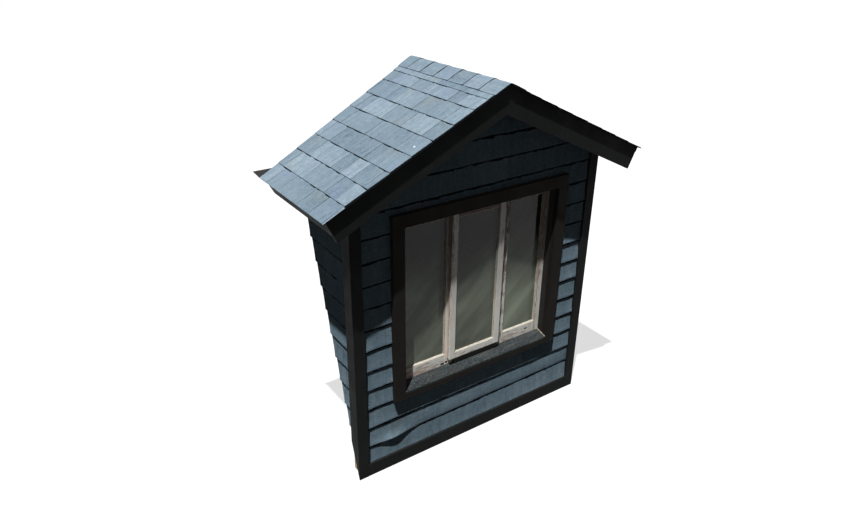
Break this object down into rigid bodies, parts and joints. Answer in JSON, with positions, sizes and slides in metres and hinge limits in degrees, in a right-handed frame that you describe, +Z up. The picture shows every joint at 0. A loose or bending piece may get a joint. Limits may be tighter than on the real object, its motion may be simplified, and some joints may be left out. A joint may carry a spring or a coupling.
{
  "type": "dormer window",
  "caption": "Gabled roof dormer with lapped shingle cladding, dark wrapped trim and a wide window of side-by-side wooden sashes, built over softwood framing.",
  "frame": {"origin": "middle of the underside of the front wall's sole plate, where the dormer stands on the roof's framing", "axes": "+X to the right along the front wall seen from outside, +Y back into the main roof, +Z up"},
  "size_m": [2.3402, 0.9751, 2.4197],
  "materials": {
    "softwood": "sawn softwood, unpainted",
    "sheathing": "strand board",
    "wall_shingle": "mineral granules, slate blue blend",
    "roof_shingle": "mineral granules, blue grey blend",
    "dark_trim": "boards wrapped in thin dark brown coated metal",
    "flashing": "matt grey",
    "sill": "covered with gritty grey sheet",
    "frame_wood": "old red brown paint",
    "old_paint": "old cream paint, peeling off bare wood",
    "glass": "dirty clear glass",
    "latch": "dull grey"
  },
  "bodies": {
    "root": {"sole_plate": "softwood", "wall_studs": "softwood", "rough_sill": "softwood", "window_header": "softwood", "front_top_plate": "softwood", "cheek_sole_plates": "softwood", "cheek_studs": "softwood", "cheek_top_plates": "softwood", "ridge_board": "softwood", "rafters": "softwood", "valley_plates": "softwood", "front_sheathing": "sheathing", "cheek_sheathing_left": "sheathing", "cheek_sheathing_right": "sheathing", "roof_deck_left": "sheathing", "roof_deck_right": "sheathing", "front_shingles": "wall_shingle", "cheek_shingles_left": "wall_shingle", "cheek_shingles_right": "wall_shingle", "roof_shingles_left": "roof_shingle", "roof_shingles_right": "roof_shingle", "ridge_caps": "roof_shingle", "rake_board_left": "dark_trim", "rake_board_right": "dark_trim", "eave_fascia_left": "dark_trim", "eave_fascia_right": "dark_trim", "rake_soffits": "dark_trim", "eave_soffits": "dark_trim", "drip_edge_left": "dark_trim", "drip_edge_right": "dark_trim", "corner_board_left": "dark_trim", "corner_board_right": "dark_trim", "base_trim": "dark_trim", "casing_head": "dark_trim", "casing_sides": "dark_trim", "casing_apron": "dark_trim", "valley_flashings": "flashing", "window_sill": "sill", "window_frame": "frame_wood", "sash_left": "old_paint", "sash_middle": "old_paint", "sash_right": "old_paint", "panes": "glass", "sash_latch": "latch"}
  },
  "joints": []
}
